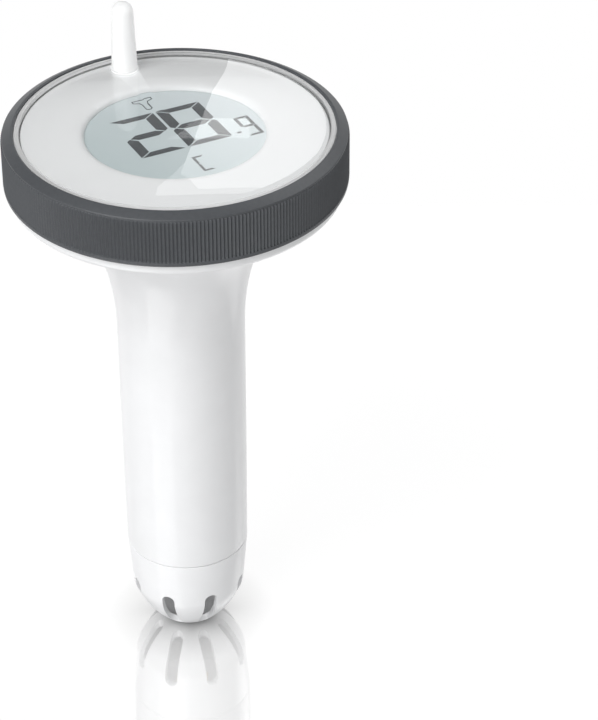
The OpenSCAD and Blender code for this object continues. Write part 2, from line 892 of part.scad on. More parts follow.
module lock_ring() {
    band_low = ring_z0 + 1.5;
    band_high = shoulder_z - 0.4;
    groove_r = ring_r - rib_depth;
    round_r = 1;
    color("dimgray") {
        revolve(concat(
            [
                [ring_bore_r, ring_z0 + 0.4],
                [ring_bore_r + 0.4, ring_z0],
                [ring_r - 0.4, ring_z0],
                [ring_r, ring_z0 + 0.4],
                [ring_r, band_low],
                [groove_r, band_low],
                [groove_r, band_high],
                [ring_r, band_high],
            ],
            arc([ring_r - round_r, band_high], round_r, 0, 60, 6),
            [
                [ring_lip_r + 0.6, shoulder_z + ring_lip_rise],
                [ring_lip_r, shoulder_z + ring_lip_rise - 0.4],
                [ring_lip_r, ring_lip_under],
                [ring_bore_r, ring_lip_under],
                [ring_bore_r, bead_z + bead_h + 0.3],
                [bead_r, bead_z + bead_h],
                [bead_r, bead_z],
                [ring_bore_r, bead_z - 0.4],
            ]
        ));
        thread(ring_root_r, ring_crest_r, ring_base_w, ring_crest_w,
            collar_thread_z - thread_pitch / 2, ring_thread_turn, ring_turns);
        translate([0, 0, band_low]) grip_ribs(band_high - band_low, groove_r);
    }
}

// Upright ribs round the ring
module grip_ribs(h, groove_r) {
    pitch_a = 360 / rib_count;
    rib_foot_r = groove_r + 0.02;
    crest_r = ring_r - 0.05;
    linear_extrude(height = h)
        difference() {
            polygon([
                for (i = [0 : rib_count - 1], p = [[0, 0], [0.2, 1], [0.5, 1], [0.7, 0]])
                    let (
                        a = (i + p[0]) * pitch_a,
                        r = rib_foot_r + p[1] * (crest_r - rib_foot_r)
                    )
                    r * [cos(a), sin(a)]
            ]);
            circle(r = groove_r - 0.3, $fn = sides);
        }
}

module unit_button() {
    color("gray")
        translate([control_x, control_y, 0]) {
            rod(button_r, cover_z - 1.4, cover_top + 0.3);
            rod(button_r + 1, cover_top + 0.1, pcb_z - 2.5 - button_travel - 0.1);
        }
}

module channel_switch() {
    color("gray")
        translate([-control_x, control_y, 0]) {
            block(knob_w, knob_w, cover_z - 1.2, cover_top + 0.3);
            block(knob_w + 2, knob_w + 2, cover_top + 0.1, pcb_z - 3.1);
        }
}

float_shell();
probe_guard();
probe_thimble();
thimble_seal();
thimble_nut();
thermistor();
ballast_weight();
sensor_leads();
lens_cover();
seal_gasket();
antenna_sleeve();
antenna_coil();
bezel();
lcd_cell();
lcd_segments();
lcd_reflector();
lcd_frame();
zebra_strips();
main_pcb();
pcb_screws();
rf_module();
chip_blob();
crystal_can();
capacitor();
tact_switch();
slide_switch();
rear_cover();
cover_screws();
battery_holder();
holder_screws();
battery_left();
battery_right();
battery_springs();
battery_contacts();
battery_leads();
lock_ring();
unit_button();
channel_switch();
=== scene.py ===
"""Looks of the floating pool thermometer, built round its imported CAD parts.

The shape sections are in millimetres in the row frame, and mesh_piece turns them into metres.
The stage section is in metres.
"""

import json
import math

import bpy
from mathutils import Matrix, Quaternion, Vector

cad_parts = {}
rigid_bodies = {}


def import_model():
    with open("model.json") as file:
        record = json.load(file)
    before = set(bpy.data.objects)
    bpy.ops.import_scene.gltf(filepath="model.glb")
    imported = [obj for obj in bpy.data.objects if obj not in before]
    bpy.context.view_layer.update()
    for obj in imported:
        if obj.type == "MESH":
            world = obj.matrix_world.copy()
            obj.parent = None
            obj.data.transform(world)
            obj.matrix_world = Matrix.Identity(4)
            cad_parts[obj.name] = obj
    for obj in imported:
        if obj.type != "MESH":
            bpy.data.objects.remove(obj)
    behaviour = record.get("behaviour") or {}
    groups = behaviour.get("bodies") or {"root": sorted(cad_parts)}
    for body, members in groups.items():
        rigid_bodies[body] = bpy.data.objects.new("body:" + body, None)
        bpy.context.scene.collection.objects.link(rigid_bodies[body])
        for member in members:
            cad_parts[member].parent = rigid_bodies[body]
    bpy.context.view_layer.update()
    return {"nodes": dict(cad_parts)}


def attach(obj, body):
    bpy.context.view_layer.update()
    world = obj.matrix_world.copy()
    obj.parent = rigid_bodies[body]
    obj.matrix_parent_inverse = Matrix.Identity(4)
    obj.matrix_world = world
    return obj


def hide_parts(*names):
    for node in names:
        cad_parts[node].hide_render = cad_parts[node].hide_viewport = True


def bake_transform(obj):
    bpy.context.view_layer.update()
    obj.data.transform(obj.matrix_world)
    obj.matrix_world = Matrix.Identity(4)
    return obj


MM = 0.001

for stray in list(bpy.data.objects):
    bpy.data.objects.remove(stray)
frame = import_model()

# ---- Shape helpers ----


def curve(a, b, c, d, steps):
    """Points of a cubic curve from a to d, pulled towards b and c."""
    points = []
    for i in range(steps + 1):
        t = i / steps
        s = 1 - t
        weights = (s * s * s, 3 * s * s * t, 3 * s * t * t, t * t * t)
        points.append(
            tuple(sum(w * p[k] for w, p in zip(weights, (a, b, c, d))) for k in (0, 1))
        )
    return points


def rounded(outline, steps=5):
    """A closed outline of (radius, height[, rounding]) with the named corners rounded."""
    made = []
    for i, corner in enumerate(outline):
        here = Vector(corner[:2])
        if len(corner) < 3:
            made.append(tuple(here))
            continue
        before = (Vector(outline[i - 1][:2]) - here).normalized()
        after = (Vector(outline[(i + 1) % len(outline)][:2]) - here).normalized()
        half = before.angle(after) / 2
        reach = corner[2] / math.tan(half)
        centre = here + (before + after).normalized() * corner[2] / math.sin(half)
        start = here + before * reach - centre
        turn = start.angle_signed(here + after * reach - centre)
        for k in range(steps + 1):
            a = -turn * k / steps
            made.append(
                (
                    centre.x + start.x * math.cos(a) - start.y * math.sin(a),
                    centre.y + start.x * math.sin(a) + start.y * math.cos(a),
                )
            )
    return made


def mesh_piece(name, verts, faces, sharp_deg=35):
    """A mesh object from millimetre points, smooth but for edges sharper than sharp_deg."""
    mesh = bpy.data.meshes.new(name)
    mesh.from_pydata([tuple(MM * x for x in v) for v in verts], [], faces)
    piece = bpy.data.objects.new(name, mesh)
    bpy.context.scene.collection.objects.link(piece)
    face_out(mesh)
    smooth(piece, sharp_deg)
    return piece


def face_out(mesh):
    """Turns all faces round if the mesh is inside out."""
    volume = sum(
        mesh.vertices[p.vertices[0]].co.dot(
            mesh.vertices[p.vertices[k]].co.cross(mesh.vertices[p.vertices[k + 1]].co)
        )
        for p in mesh.polygons
        for k in range(1, len(p.vertices) - 1)
    )
    if volume < 0:
        mesh.flip_normals()


def smooth(piece, sharp_deg=35):
    piece.data.shade_smooth()
    piece.data.set_sharp_from_angle(angle=math.radians(sharp_deg))


def lathe(name, outline, steps=192, dent=None, centre=(0, 0)):
    """A closed outline of (radius, height) turned about a vertical line.

    dent(k, j) lowers the radius of outline point k at step j.
    """
    verts, rings = [], []
    for k, (r, z) in enumerate(outline):
        if r < 1e-6:
            rings.append([len(verts)] * steps)
            verts.append((centre[0], centre[1], z))
            continue
        rings.append(list(range(len(verts), len(verts) + steps)))
        for j in range(steps):
            a = 2 * math.pi * j / steps
            rr = r - (dent(k, j) if dent else 0)
            verts.append((centre[0] + rr * math.cos(a), centre[1] + rr * math.sin(a), z))
    faces = []
    for k, ring in enumerate(rings):
        other = rings[(k + 1) % len(rings)]
        for j in range(steps):
            i = (j + 1) % steps
            corners = list(dict.fromkeys((ring[j], ring[i], other[i], other[j])))
            if len(corners) > 2:
                faces.append(corners)
    return mesh_piece(name, verts, faces)


def rod(name, r, z0, z1, centre=(0, 0), steps=48):
    return lathe(name, [(0, z0), (r, z0), (r, z1), (0, z1)], steps, centre=centre)


def strip(name, rings):
    """A closed tube of rings of points, each ring with as many points."""
    m = len(rings[0])
    faces = [list(range(m))[::-1], [(len(rings) - 1) * m + j for j in range(m)]]
    for i in range(len(rings) - 1):
        for j in range(m):
            k = (j + 1) % m
            faces.append([i * m + j, i * m + k, (i + 1) * m + k, (i + 1) * m + j])
    return mesh_piece(name, [p for ring in rings for p in ring], faces)


def thread(name, root_r, crest_r, base_w, crest_w, z0, from_turn, turns, pitch=4.0):
    """A right-handed ridge, sunk in the wall at root_r, that fades at both ends."""
    steps = int(turns * 96)
    rings = []
    for i in range(steps + 1):
        turn = from_turn + turns * i / steps
        fade = min(1.0, 0.3 + 5 * min(i, steps - i) / 96)
        a = 2 * math.pi * turn
        section = [(0, -base_w / 2), (1, -crest_w / 2), (1, crest_w / 2), (0, base_w / 2)]
        rings.append(
            [
                (
                    (root_r + s * fade * (crest_r - root_r)) * math.cos(a),
                    (root_r + s * fade * (crest_r - root_r)) * math.sin(a),
                    z0 + turn * pitch + h,
                )
                for s, h in section
            ]
        )
    return strip(name, rings)


def box(name, x, y, z):
    """A block between two values on each axis."""
    verts = [(i, j, k) for i in x for j in y for k in z]
    faces = [(0, 1, 3, 2), (4, 6, 7, 5), (0, 4, 5, 1), (2, 3, 7, 6), (0, 2, 6, 4), (1, 5, 7, 3)]
    return mesh_piece(name, verts, faces)


def joined(name, pieces):
    """Several separate solids as one object."""
    verts, faces = [], []
    for piece in pieces:
        start = len(verts)
        verts += [tuple(v.co / MM) for v in piece.data.vertices]
        faces += [[start + i for i in p.vertices] for p in piece.data.polygons]
        bpy.data.objects.remove(piece)
    return mesh_piece(name, verts, faces)


def combine(piece, tool, how, sharp_deg=35):
    """Adds the tool to a piece (UNION) or cuts it away (DIFFERENCE), and removes the tool."""
    modifier = piece.modifiers.new("combine", "BOOLEAN")
    modifier.operation = how
    modifier.solver = "MANIFOLD"
    modifier.object = tool
    evaluated = piece.evaluated_get(bpy.context.evaluated_depsgraph_get())
    mesh = bpy.data.meshes.new_from_object(evaluated)
    piece.modifiers.clear()
    piece.data = mesh
    bpy.data.objects.remove(tool)
    smooth(piece, sharp_deg)
    return piece


def around(angles_deg, radius):
    """Centres at these angles about the axis."""
    return [
        (radius * math.cos(math.radians(a)), radius * math.sin(math.radians(a)))
        for a in angles_deg
    ]


def turned(piece, angle_deg):
    """Turns a mesh about the object's axis."""
    c, s = math.cos(math.radians(angle_deg)), math.sin(math.radians(angle_deg))
    for v in piece.data.vertices:
        x, y = v.co.x, v.co.y
        v.co.x, v.co.y = c * x - s * y, s * x + c * y
    return piece


# ---- Material helpers ----


def links(material):
    return material.node_tree.links.new


def blank(name):
    material = bpy.data.materials.new(name)
    material.use_nodes = True
    material.node_tree.nodes.clear()
    return material, material.node_tree.nodes


def value_of(nodes, link, operation, a, b):
    """The result of a Math node on two outputs."""
    node = nodes.new("ShaderNodeMath")
    node.operation = operation
    link(a, node.inputs[0])
    link(b, node.inputs[1])
    return node.outputs["Value"]


def ranged(nodes, link, value, start, end, low, high):
    """A value that goes from low to high while another one goes from start to end."""
    node = nodes.new("ShaderNodeMapRange")
    for key, number in (("From Min", start), ("From Max", end), ("To Min", low), ("To Max", high)):
        node.inputs[key].default_value = number
    link(value, node.inputs["Value"])
    return node.outputs["Result"]


def mixed(nodes, link, share, a, b):
    """Shader a with this share of shader b, or half of each if there is no share."""
    node = nodes.new("ShaderNodeMixShader")
    if share is not None:
        link(share, node.inputs["Fac"])
    link(a, node.inputs[1])
    link(b, node.inputs[2])
    return node.outputs["Shader"]


def mottle(material, nodes, low, high, scale, detail=3.0):
    """A soft noise between two colours, in object coordinates. Returns its colour output."""
    where = nodes.new("ShaderNodeTexCoord")
    noise = nodes.new("ShaderNodeTexNoise")
    noise.inputs["Scale"].default_value = scale
    noise.inputs["Detail"].default_value = detail
    ramp = nodes.new("ShaderNodeValToRGB")
    for stop, position, colour in zip(ramp.color_ramp.elements, (0.3, 0.7), (low, high)):
        stop.position = position
        stop.color = (*colour, 1)
    link = links(material)
    link(where.outputs["Object"], noise.inputs["Vector"])
    link(noise.outputs["Fac"], ramp.inputs["Fac"])
    return ramp.outputs["Color"]


def shade(colour, factor):
    return tuple(min(1.0, c * factor) for c in colour)


COAT_ROUGHNESS = 0.08
BUMP_SCALE, BUMP_DEPTH = 4000.0, 0.0001


def finish_material(
    name,
    colour,
    roughness,
    metallic=0.0,
    coat=0.0,
    specular=0.5,
    grain=300.0,
    spread=0.03,
    bump=0.0,
    inner_glow=0.0,
    glow=0.0,
):
    """A Principled surface whose colour varies a little over the piece.

    inner_glow is how far light spreads in it, in metres. glow is painted light: the surface shines by
    itself, though it is no lamp.
    """
    material, nodes = blank(name)
    link = links(material)
    surface = nodes.new("ShaderNodeBsdfPrincipled")
    out = nodes.new("ShaderNodeOutputMaterial")
    surface.inputs["Roughness"].default_value = roughness
    surface.inputs["Metallic"].default_value = metallic
    surface.inputs["Coat Weight"].default_value = coat
    surface.inputs["Coat Roughness"].default_value = COAT_ROUGHNESS
    surface.inputs["Specular IOR Level"].default_value = specular
    if inner_glow:
        surface.inputs["Subsurface Weight"].default_value = 1.0
        surface.inputs["Subsurface Scale"].default_value = inner_glow
        surface.inputs["Subsurface Radius"].default_value = (1, 1, 1)
    link(
        mottle(material, nodes, shade(colour, 1 - spread), shade(colour, 1 + spread), grain),
        surface.inputs["Base Color"],
    )
    if glow:
        surface.inputs["Emission Color"].default_value = (*colour, 1)
        surface.inputs["Emission Strength"].default_value = glow
    if bump:
        where = nodes.new("ShaderNodeTexCoord")
        noise = nodes.new("ShaderNodeTexNoise")
        noise.inputs["Scale"].default_value = BUMP_SCALE
        relief = nodes.new("ShaderNodeBump")
        relief.inputs["Strength"].default_value = bump
        relief.inputs["Distance"].default_value = BUMP_DEPTH
        link(where.outputs["Object"], noise.inputs["Vector"])
        link(noise.outputs["Fac"], relief.inputs["Height"])
        link(relief.outputs["Normal"], surface.inputs["Normal"])
    link(surface.outputs["BSDF"], out.inputs["Surface"])
    return material


IOR, MIRROR_GREY, MILK_WHITE = 1.5, 0.62, 0.95


def clear_plastic(name, tint, hazes):
    """Clear plastic that lets lamps reach what it covers.

    Each haze is (centre, start, end, low, high): how milky the plastic is, from low to high while
    the distance from an upright line through the centre goes from start to end, in metres. Without
    a centre it goes by height instead. The milkiest haze counts.
    """
    material, nodes = blank(name)
    link = links(material)
    bend = nodes.new("ShaderNodeBsdfRefraction")
    bend.inputs["Roughness"].default_value = 0.0
    bend.inputs["IOR"].default_value = IOR
    link(mottle(material, nodes, shade(tint, 0.995), tint, 60.0), bend.inputs["Color"])
    mirror = nodes.new("ShaderNodeBsdfGlossy")
    mirror.inputs["Roughness"].default_value = 0.0
    mirror.inputs["Color"].default_value = (MIRROR_GREY, MIRROR_GREY, MIRROR_GREY, 1)
    slant = nodes.new("ShaderNodeFresnel")
    slant.inputs["IOR"].default_value = IOR
    glass = mixed(nodes, link, slant.outputs["Fac"], bend.outputs["BSDF"], mirror.outputs["BSDF"])
    where = nodes.new("ShaderNodeTexCoord")
    axes = nodes.new("ShaderNodeSeparateXYZ")
    flat = nodes.new("ShaderNodeCombineXYZ")
    link(where.outputs["Object"], axes.inputs["Vector"])
    link(axes.outputs["X"], flat.inputs["X"])
    link(axes.outputs["Y"], flat.inputs["Y"])
    milk = None
    for centre, start, end, low, high in hazes:
        if centre is None:
            value = axes.outputs["Z"]
        else:
            away = nodes.new("ShaderNodeVectorMath")
            away.operation = "DISTANCE"
            away.inputs[1].default_value = (*centre, 0)
            link(flat.outputs["Vector"], away.inputs[0])
            value = away.outputs["Value"]
        level = ranged(nodes, link, value, start, end, low, high)
        milk = level if milk is None else value_of(nodes, link, "MAXIMUM", milk, level)
    haze = nodes.new("ShaderNodeBsdfTranslucent")
    skin = nodes.new("ShaderNodeBsdfDiffuse")
    for part in (haze, skin):
        part.inputs["Color"].default_value = (MILK_WHITE, MILK_WHITE, MILK_WHITE, 1)
    white = mixed(nodes, link, None, haze.outputs["BSDF"], skin.outputs["BSDF"])
    milky = mixed(nodes, link, milk, glass, white)
    open_way = nodes.new("ShaderNodeBsdfTransparent")
    path = nodes.new("ShaderNodeLightPath")
    either = value_of(
        nodes, link, "MAXIMUM", path.outputs["Is Shadow Ray"], path.outputs["Is Diffuse Ray"]
    )
    out = nodes.new("ShaderNodeOutputMaterial")
    link(mixed(nodes, link, either, milky, open_way.outputs["BSDF"]), out.inputs["Surface"])
    return material


def wear(piece, material):
    piece.data.materials.clear()
    piece.data.materials.append(material)
    return piece


WHITE = (0.86, 0.865, 0.875)
white_shell = finish_material("white_shell", WHITE, 0.32, coat=0.25, spread=0.012, grain=120.0)
dial_white = finish_material("dial_white", (0.86, 0.865, 0.87), 0.4, spread=0.01, grain=120.0)
ring_grey = finish_material(
    "ring_grey",
    (0.072, 0.077, 0.084),
    0.42,
    specular=0.4,
    spread=0.06,
    grain=900.0,
    bump=0.15,
)
# The mast's centre. The mast, its root and the lens rim are a little milky.
MAST_AT = around([87.3], 39.4)[0]
clear_lens = clear_plastic(
    "clear_lens",
    (0.985, 0.99, 0.99),
    [
        (None, 0.1785, 0.181, 0.0, 0.12),
        ([MM * c for c in MAST_AT], 0.0039, 0.0044, 0.7, 0.0),
        ((0, 0), 0.0449, 0.0452, 0.0, 0.7),
    ],
)

NODE_LOOKS = {
    "thimble_seal": finish_material("seal_black", (0.03, 0.03, 0.03), 0.6),
    "thimble_nut": finish_material("nut_brass", (0.68, 0.5, 0.22), 0.3, metallic=1.0),
    "probe_thimble": finish_material("steel_drawn", (0.62, 0.63, 0.64), 0.28, metallic=1.0),
    "thermistor": finish_material("bead_black", (0.03, 0.03, 0.03), 0.35),
    "ballast_weight": finish_material("zinc_weight", (0.45, 0.46, 0.47), 0.5, metallic=1.0, spread=0.1),
    "seal_gasket": finish_material("gasket_pale", (0.78, 0.785, 0.79), 0.5),
    # The antenna sleeve shines by itself (glow=0.3), though it is no lamp: painted light that keeps it
    # evenly bright all round.
    "antenna_sleeve": finish_material(
        "sleeve_white_painted_glow", (0.95, 0.95, 0.95), 0.5, spread=0.01, inner_glow=0.004, glow=0.3
    ),
    "antenna_coil": finish_material("coil_copper", (0.75, 0.42, 0.22), 0.3, metallic=1.0),
    "lcd_segments": finish_material("lcd_ink", (0.02, 0.025, 0.03), 0.5, spread=0.05),
    "lcd_reflector": finish_material("reflector_film", (0.75, 0.77, 0.77), 0.35, metallic=1.0),
    "lcd_frame": finish_material("frame_white", (0.82, 0.82, 0.81), 0.5),
    "zebra_strips": finish_material("zebra_rubber", (0.1, 0.1, 0.11), 0.7, grain=1500.0, spread=0.5),
    "main_pcb": finish_material("board_green", (0.03, 0.2, 0.08), 0.4, spread=0.12),
    "pcb_screws": finish_material("screw_zinc", (0.62, 0.62, 0.6), 0.35, metallic=1.0),
    "rf_module": finish_material("can_tin", (0.68, 0.69, 0.7), 0.35, metallic=1.0),
    "chip_blob": finish_material("blob_black", (0.02, 0.02, 0.02), 0.3),
    "crystal_can": finish_material("can_steel", (0.65, 0.66, 0.67), 0.25, metallic=1.0),
    "capacitor": finish_material("sleeve_blue", (0.03, 0.05, 0.16), 0.35),
    "tact_switch": finish_material("switch_black", (0.05, 0.05, 0.05), 0.5),
    "slide_switch": finish_material("switch_can", (0.65, 0.66, 0.67), 0.35, metallic=1.0),
    "rear_cover": finish_material("cover_white", (0.8, 0.8, 0.79), 0.5),
    "cover_screws": finish_material("screw_zinc_b", (0.62, 0.62, 0.6), 0.35, metallic=1.0),
    "battery_holder": finish_material("holder_white", (0.8, 0.8, 0.79), 0.5),
    "holder_screws": finish_material("screw_zinc_c", (0.62, 0.62, 0.6), 0.35, metallic=1.0),
    "battery_left": finish_material("jacket_left", (0.6, 0.42, 0.16), 0.35),
    "battery_right": finish_material("jacket_right", (0.6, 0.42, 0.16), 0.35),
    "battery_springs": finish_material("spring_nickel", (0.7, 0.68, 0.65), 0.25, metallic=1.0),
    "battery_contacts": finish_material("contact_nickel", (0.7, 0.68, 0.65), 0.25, metallic=1.0),
    "battery_leads": finish_material("lead_red", (0.4, 0.03, 0.03), 0.5),
    "unit_button": finish_material("button_grey", (0.25, 0.26, 0.27), 0.5),
    "channel_switch": finish_material("knob_grey", (0.25, 0.26, 0.27), 0.5),
}
for node, material in NODE_LOOKS.items():
    wear(frame["nodes"][node], material)

# ---- Float body and guard ----

SHOULDER = 177.0
FLANGE_TOP = 161.5
LIP_R, LIP_BOTTOM = 49.1, 157.8
COLLAR_TOP = 172.9
SEAM_R, SEAM_Z = 18.85, 31.4
NECK_R, NECK_Z = 19.3, 112.0
BULKHEAD_Z, BULKHEAD_TOP, SPIGOT_Z = 32.5, 35.5, 25.0
THIMBLE_BORE = 3.15

stem = curve((SEAM_R, SEAM_Z), (SEAM_R + 0.4, 77.5), (NECK_R - 0.1, 92.5), (NECK_R, NECK_Z), 16)
flare = curve((NECK_R, NECK_Z), (NECK_R + 0.3, 133.5), (27, 155.5), (46.2, LIP_BOTTOM), 60)
hollow = curve((43.5, FLANGE_TOP - 1.4), (25, 157.5), (17.1, 133.5), (16.4, NECK_Z - 4), 40)
shell = lathe(
    "float_body_shell",
    rounded(
        [
            (THIMBLE_BORE, BULKHEAD_Z),
            (14.6, BULKHEAD_Z),
            (14.6, SPIGOT_Z),
            (16.2, SPIGOT_Z, 0.3),
            (16.2, SEAM_Z),
            (SEAM_R, SEAM_Z, 0.2),
            *stem[1:],
            *flare[1:],
            (LIP_R, LIP_BOTTOM + 0.4, 1.9),
            (LIP_R, FLANGE_TOP, 0.3),
            (47, FLANGE_TOP),
            (47, COLLAR_TOP, 0.3),
            (44.8, COLLAR_TOP, 0.3),
            (44.8, FLANGE_TOP - 0.4),
            *hollow,
            (16.4, BULKHEAD_TOP),
            (THIMBLE_BORE, BULKHEAD_TOP),
        ],
        8,
    ),
    256,
)
combine(shell, thread("collar_thread", 46.7, 47.85, 1.9, 0.8, FLANGE_TOP + 2, 0, 1.9), "UNION")
combine(shell, box("key_cut", (-2.25, 2.25), (-45.8, -43.6), (163.5, 177.5)), "DIFFERENCE")
wear(shell, white_shell)
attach(shell, "float_body")
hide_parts("float_shell")

GUARD_TOP = SEAM_Z - 0.2
guard = lathe(
    "guard_cap",
    rounded(
        [
            (16.35, GUARD_TOP),
            (SEAM_R, GUARD_TOP, 0.2),
            *curve((17.54, 15.4), (17.34, 11.3), (10.55, 0), (5.3, 0), 40),
            (0, 0),
            (0, 1.7),
            *curve((4.8, 1.7), (9.3, 1.7), (15.84, 12), (15.84, 15.4), 24),
            (15.85, SPIGOT_Z - 0.2),
            (16.35, SPIGOT_Z - 0.2),
        ],
        4,
    ),
    256,
)
SLOT_R, SLOT_TOP, SLOT_IN, SLOT_OUT = 2.05, 18.2, 11.5, 20.54
slot_angles = [43 + 45 * i for i in range(8)]


def slot_cut(i, angle):
    """The upright inner end, the straight sides and the round top of one water slot."""
    inner = rod(f"inner_{i}", SLOT_R, -1, SLOT_TOP - SLOT_R, centre=(SLOT_IN, 0))
    sides = box(f"sides_{i}", (SLOT_IN, SLOT_OUT), (-SLOT_R, SLOT_R), (-1, SLOT_TOP - SLOT_R))
    top = rod(f"top_{i}", SLOT_R, SLOT_IN, SLOT_OUT)
    for v in top.data.vertices:
        x, z = v.co.x, v.co.z
        v.co.x, v.co.z = z, SLOT_TOP * MM - SLOT_R * MM - x
    return [turned(part, angle) for part in (inner, sides, top)]


cuts = [slot_cut(i, a) for i, a in enumerate(slot_angles)]
for which in range(3):
    combine(guard, joined(f"slot_cut_{which}", [c[which] for c in cuts]), "DIFFERENCE")
wear(guard, white_shell)
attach(guard, "float_body")
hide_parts("probe_guard")

# ---- Lock ring ----

RING_R, RING_Z, RING_LIP_R = 50.4, SHOULDER - 15.2, 46.7
RIBS, RIB_STEPS, RIB_DEPTH = 288, 8, 0.42
RIB_LOW, RIB_HIGH = RING_Z + 1.3, SHOULDER - 0.75
RIB_END_LOW, RIB_END_HIGH = 0.4, 0.7
LIP_TOP = SHOULDER + 1.45

plain_low, plain_high = RIB_LOW + RIB_END_LOW, RIB_HIGH - RIB_END_HIGH
wall_rows = [
    *[RIB_LOW + RIB_END_LOW * (1 - math.cos(k * math.pi / 8)) for k in range(5)],
    *[plain_low + (plain_high - plain_low) * k / 4 for k in range(1, 4)],
    *[RIB_HIGH - RIB_END_HIGH * (1 - math.sin(k * math.pi / 10)) for k in range(6)],
]
ring_outline = rounded(
    [
        (48.2, RING_Z + 0.4),
        (48.6, RING_Z),
        (RING_R - 0.1, RING_Z, 0.35),
        *[(RING_R, z) for z in wall_rows],
        (RING_R - RIB_DEPTH, SHOULDER - 0.1, 0.6),
        (RING_LIP_R + 0.5, LIP_TOP, 0.4),
        (RING_LIP_R, LIP_TOP - 0.25, 0.15),
        (RING_LIP_R, SHOULDER - 0.4),
        (48.2, SHOULDER - 0.4),
        (48.2, SHOULDER - 2.6),
        (47.5, SHOULDER - 2.9),
        (47.5, SHOULDER - 3.4),
        (48.2, SHOULDER - 3.8),
    ],
    5,
)


def rib_dent(k, j):
    """How far the ring's wall lies behind the rib crests at outline point k and step j."""
    z = ring_outline[k][1]
    if abs(ring_outline[k][0] - RING_R) > 1e-4:
        return 0
    between = 0.5 - 0.5 * math.cos(2 * math.pi * (j % RIB_STEPS) / RIB_STEPS)
    groove = between**0.8
    low = min(1.0, max(0.0, (z - RIB_LOW) / RIB_END_LOW))
    high = min(1.0, max(0.0, (RIB_HIGH - z) / RIB_END_HIGH))
    sink = math.sqrt(1 - (1 - low) ** 2) * groove
    crest = math.sqrt(1 - (1 - high) ** 2)
    return RIB_DEPTH * (1 - crest * (1 - sink))


ring = lathe("grip_ring", ring_outline, RIBS * RIB_STEPS, rib_dent)
combine(ring, thread("ring_thread", 48.6, 47.3, 1.5, 0.6, FLANGE_TOP, 0.5, 1.25), "UNION")
wear(ring, ring_grey)
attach(ring, "lock_ring")
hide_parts("lock_ring")

# ---- Clear lens with its hollow mast ----

LENS_TOP, LENS_T, LENS_R = SHOULDER + 1.2, 2.0, 46.5
RIM_Z, RIM_TOP, RIM_IN = SHOULDER - 2.6, SHOULDER - 0.6, 44.75
FLAT_R, EDGE_DROP = 43.0, 0.2
MAST_BASE, MAST_TIP, MAST_H, MAST_FILLET = 3.88, 3.26, 22.8, 0.4
SHEATH, TIP_WALL = 0.75, 1.5


def dome(centre_z, r, steps=14):
    return [
        (r * math.cos(k * math.pi / 2 / steps), centre_z + r * math.sin(k * math.pi / 2 / steps))
        for k in range(steps)
    ] + [(0, centre_z + r)]


lens = lathe(
    "lens_and_mast",
    rounded(
        [
            (0, LENS_TOP - LENS_T),
            (RIM_IN, LENS_TOP - LENS_T, 0.2),
            (RIM_IN, RIM_Z, 0.2),
            (47.9, RIM_Z, 0.2),
            (47.9, RIM_TOP, 0.2),
            (LENS_R, RIM_TOP, 0.15),
            (LENS_R, LENS_TOP - EDGE_DROP, 0.4),
            *curve(
                (LENS_R - 0.9, LENS_TOP - EDGE_DROP),
                (45, LENS_TOP - 0.1),
                (44, LENS_TOP),
                (FLAT_R, LENS_TOP),
                8,
            ),
            (0, LENS_TOP),
        ]
    ),
    256,
)
mast = lathe(
    "mast",
    [
        (0, LENS_TOP - 1),
        (MAST_BASE + MAST_FILLET, LENS_TOP - 1),
        *[
            (
                MAST_BASE + MAST_FILLET * (1 - math.sin(a)),
                LENS_TOP + MAST_FILLET * (1 - math.cos(a)),
            )
            for a in (k * math.pi / 16 for k in range(8))
        ],
        *dome(SHOULDER + MAST_H - MAST_TIP, MAST_TIP),
    ],
    64,
    centre=MAST_AT,
)
combine(lens, mast, "UNION")
TIP_IN = MAST_TIP - SHEATH
combine(
    lens,
    lathe(
        "mast_hollow",
        [
            (0, LENS_TOP - LENS_T - 1),
            (MAST_BASE - SHEATH, LENS_TOP - LENS_T - 1),
            (MAST_BASE - SHEATH, LENS_TOP),
            *dome(SHOULDER + MAST_H - TIP_WALL - TIP_IN, TIP_IN),
        ],
        64,
        centre=MAST_AT,
    ),
    "DIFFERENCE",
)
wear(lens, clear_lens)
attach(lens, "head")
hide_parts("lens_cover")

# ---- Dial plate ----

DIAL_TOP, DIAL_UNDER, DIAL_R, VIEW_R = SHOULDER - 1.1, SHOULDER - 2.7, 44.55, 26.45
SKIRT_IN, SKIRT_Z = 42.6, SHOULDER - 13.45
dial = lathe(
    "dial_plate",
    rounded(
        [
            (VIEW_R, DIAL_UNDER),
            (SKIRT_IN, DIAL_UNDER),
            (SKIRT_IN, SKIRT_Z),
            (DIAL_R, SKIRT_Z),
            (DIAL_R, DIAL_TOP, 0.3),
            *curve((29.8, DIAL_TOP), (28.0, DIAL_TOP), (26.9, 175.6), (VIEW_R, 174.45), 16),
        ]
    ),
    256,
)
BOSS_R, PILOT_R = 2.7, 0.95
board_screws = around((0, 65, 180, 250), 36)
cover_screws = around((20, 160, 200, 340), 38.5)
bosses = [
    rod(f"boss_{i}", BOSS_R, base, DIAL_UNDER + 0.2, centre=c)
    for i, (c, base) in enumerate(
        [(c, SHOULDER - 7.75) for c in board_screws] + [(c, SKIRT_Z) for c in cover_screws]
    )
]
combine(dial, joined("bosses", bosses), "UNION")
pilots = [
    rod(f"pilot_{i}", PILOT_R, SKIRT_Z - 1, DIAL_UNDER - 0.6, centre=c, steps=24)
    for i, c in enumerate(board_screws + cover_screws)
]
combine(dial, joined("pilots", pilots), "DIFFERENCE")
combine(dial, box("key", (-2, 2), (-45.55, -43), (164.5, 170.5)), "UNION")
combine(dial, rod("mast_hole", 3.23, DIAL_UNDER - 1, DIAL_TOP + 1, centre=MAST_AT), "DIFFERENCE")
wear(dial, dial_white)
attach(dial, "head")
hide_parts("bezel")
